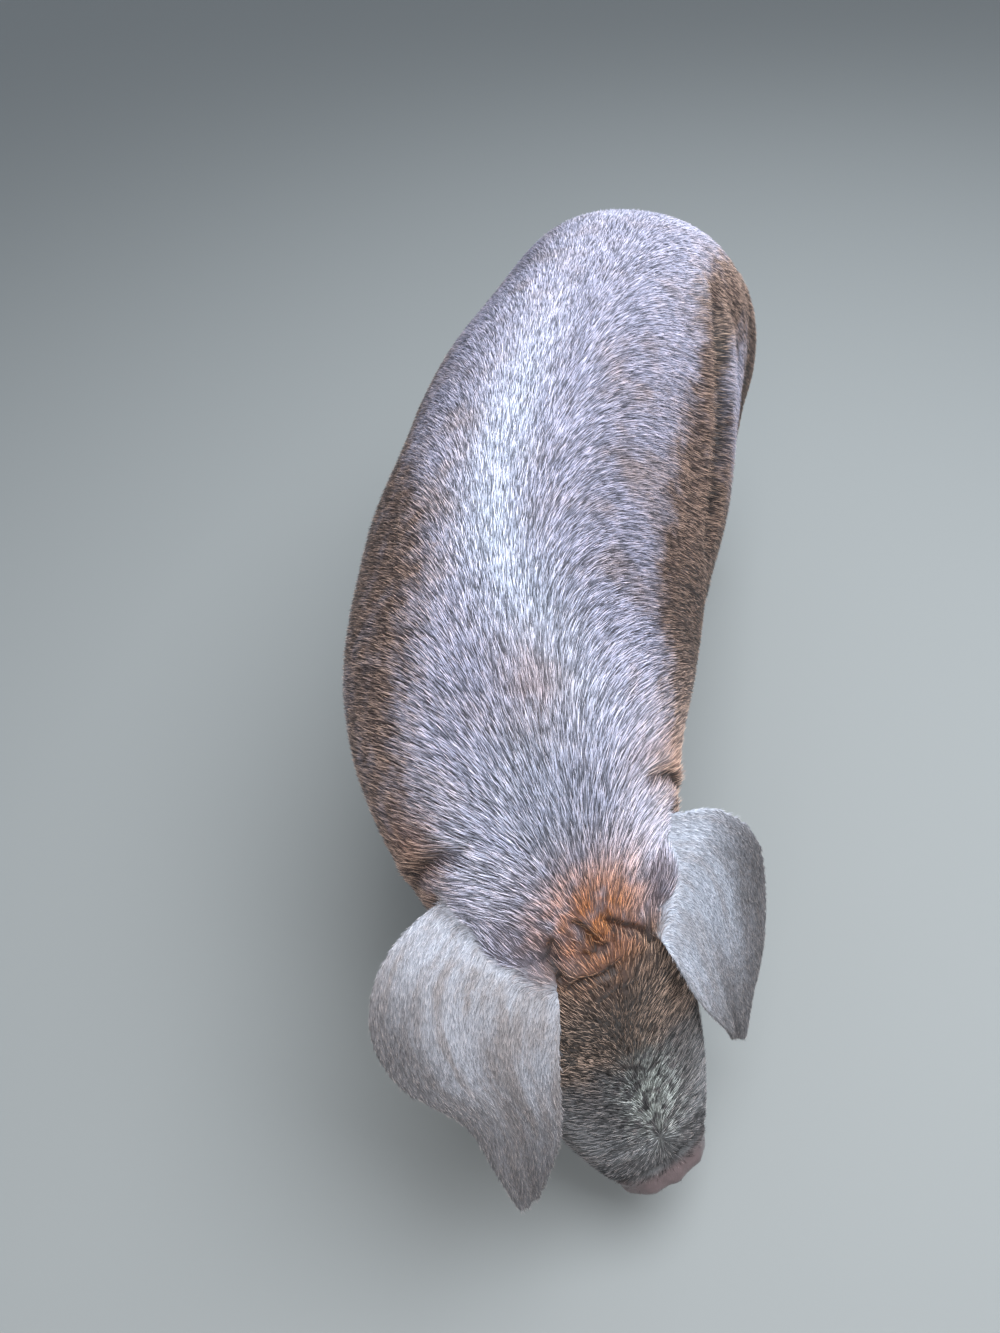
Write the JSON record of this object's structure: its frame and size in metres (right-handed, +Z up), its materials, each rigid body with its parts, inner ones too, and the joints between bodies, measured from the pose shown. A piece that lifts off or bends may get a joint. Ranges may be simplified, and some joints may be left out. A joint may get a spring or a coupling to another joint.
{
  "type": "domestic pig",
  "caption": "Standing domestic pig with lop ears and a short dark coat, head lowered and turned to its left as if feeding; a still, life-size figure.",
  "frame": {"origin": "on the floor, under the middle of the pig's overall box", "axes": "+X along the trunk towards the head, +Y to the pig's left, +Z up"},
  "size_m": [1.6248, 0.5916, 0.8349],
  "materials": {
    "hide": "dark grey-brown skin under short coarse hair with pale reddish tips",
    "face_hide": "brown skin under short hair, rust coloured on the forehead, dusty on the nose",
    "ear_hide": "thin grey-brown skin with a pale down",
    "snout_skin": "bare, slightly moist grey-pink skin",
    "horn": "dull dark horn",
    "eye_surface": "wet dark brown eye"
  },
  "bodies": {
    "root": {"barrel": "hide", "chest": "hide", "neck": "hide", "rump": "hide", "tail": "hide", "foreleg_left": "hide", "shin_left": "hide", "forefoot_left": "hide", "thigh_left": "hide", "shank_left": "hide", "hindfoot_left": "hide", "foreleg_right": "hide", "shin_right": "hide", "forefoot_right": "hide", "thigh_right": "hide", "shank_right": "hide", "hindfoot_right": "hide", "head": "face_hide", "lower_jaw": "face_hide", "snout": "snout_skin", "ear_left": "ear_hide", "eye_left": "eye_surface", "ear_right": "ear_hide", "eye_right": "eye_surface", "hoof_fore_left_inner": "horn", "dewclaw_fore_left_inner": "horn", "hoof_fore_left_outer": "horn", "dewclaw_fore_left_outer": "horn", "hoof_fore_right_inner": "horn", "dewclaw_fore_right_inner": "horn", "hoof_fore_right_outer": "horn", "dewclaw_fore_right_outer": "horn", "hoof_hind_left_inner": "horn", "dewclaw_hind_left_inner": "horn", "hoof_hind_left_outer": "horn", "dewclaw_hind_left_outer": "horn", "hoof_hind_right_inner": "horn", "dewclaw_hind_right_inner": "horn", "hoof_hind_right_outer": "horn", "dewclaw_hind_right_outer": "horn"}
  },
  "joints": []
}
